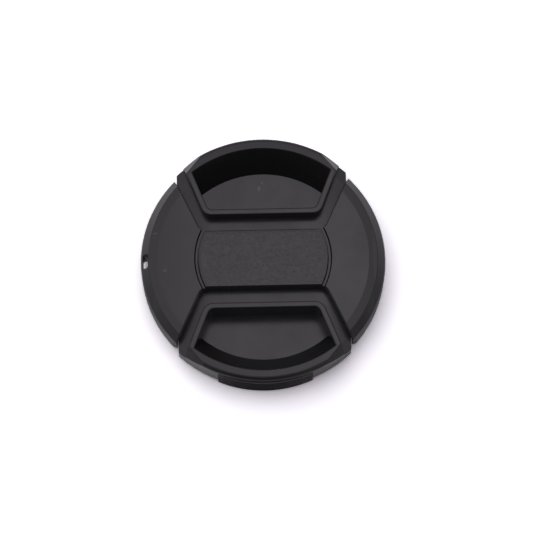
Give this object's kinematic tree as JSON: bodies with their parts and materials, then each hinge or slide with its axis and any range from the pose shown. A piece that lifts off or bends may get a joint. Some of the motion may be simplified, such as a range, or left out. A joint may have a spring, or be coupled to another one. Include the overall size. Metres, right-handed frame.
{
  "type": "camera lens cap",
  "caption": "Round black plastic lens cap with spring-loaded pinch levers in finger pockets, a bevelled edge, a lanyard slot, and claws that snap into a filter thread.",
  "frame": {"origin": "centre of the cap at the end of the spigot, which is the surface it lies on", "axes": "+Z out of the front face, Y along the levers' travel with the upper lever at +Y, X across the wings with the lanyard slot at -X"},
  "size_m": [0.0602, 0.0624, 0.0096],
  "materials": {
    "shell_plastic": "satin black moulding, with a fine spark-eroded texture on the middle plate",
    "lever_plastic": "satin black moulding",
    "plate_plastic": "matt black moulding",
    "spring_steel": "drawn spring wire"
  },
  "bodies": {
    "shell": {"front_shell": "shell_plastic", "back_plate": "plate_plastic", "left_spring": "spring_steel", "right_spring": "spring_steel"},
    "upper_lever": {"upper_lever": "lever_plastic"},
    "lower_lever": {"lower_lever": "lever_plastic"}
  },
  "joints": [
    {"name": "upper_lever_slide", "type": "slide", "parent": "shell", "child": "upper_lever", "axis": [0, -1, 0], "range_m": [0, 0.0038], "stiffness_N_per_m": 400, "springref_m": -0.005, "deforming": ["left_spring", "right_spring"]},
    {"name": "lower_lever_slide", "type": "slide", "parent": "shell", "child": "lower_lever", "axis": [0, 1, 0], "range_m": [0, 0.0038], "stiffness_N_per_m": 400, "springref_m": -0.005, "deforming": ["left_spring", "right_spring"]}
  ]
}
